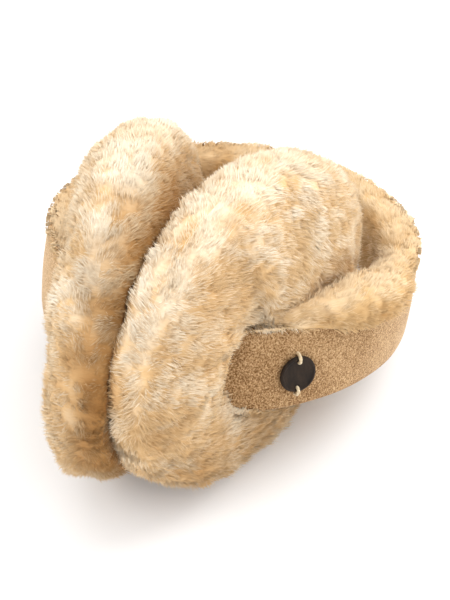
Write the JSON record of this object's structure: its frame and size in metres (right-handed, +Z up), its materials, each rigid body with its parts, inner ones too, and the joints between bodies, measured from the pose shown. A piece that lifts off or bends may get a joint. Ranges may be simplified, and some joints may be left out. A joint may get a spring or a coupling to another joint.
{
  "type": "sheepskin earmuffs",
  "caption": "Thick wool ear pads on a suede headband lined with long wool, lying down, with a button sewn on its end.",
  "frame": {"origin": "middle of the footprint, on the plane that the earmuffs lie on", "axes": "+X from the ear pads towards the top of the headband, +Y towards the right pad, +Z up"},
  "size_m": [0.2104, 0.1512, 0.1224],
  "materials": {
    "suede": "napped suede, tan",
    "lining_wool": "long curly sheep's wool, golden",
    "pad_wool": "long curly sheep's wool, cream with golden and brown depths",
    "button_horn": "dark horn, matt"
  },
  "bodies": {
    "root": {"headband_suede": "suede", "headband_wool": "lining_wool", "left_pad_inner_disc": "pad_wool", "left_pad_outer_disc": "pad_wool", "right_pad_inner_disc": "pad_wool", "right_pad_outer_disc": "pad_wool", "button": "button_horn"}
  },
  "joints": []
}
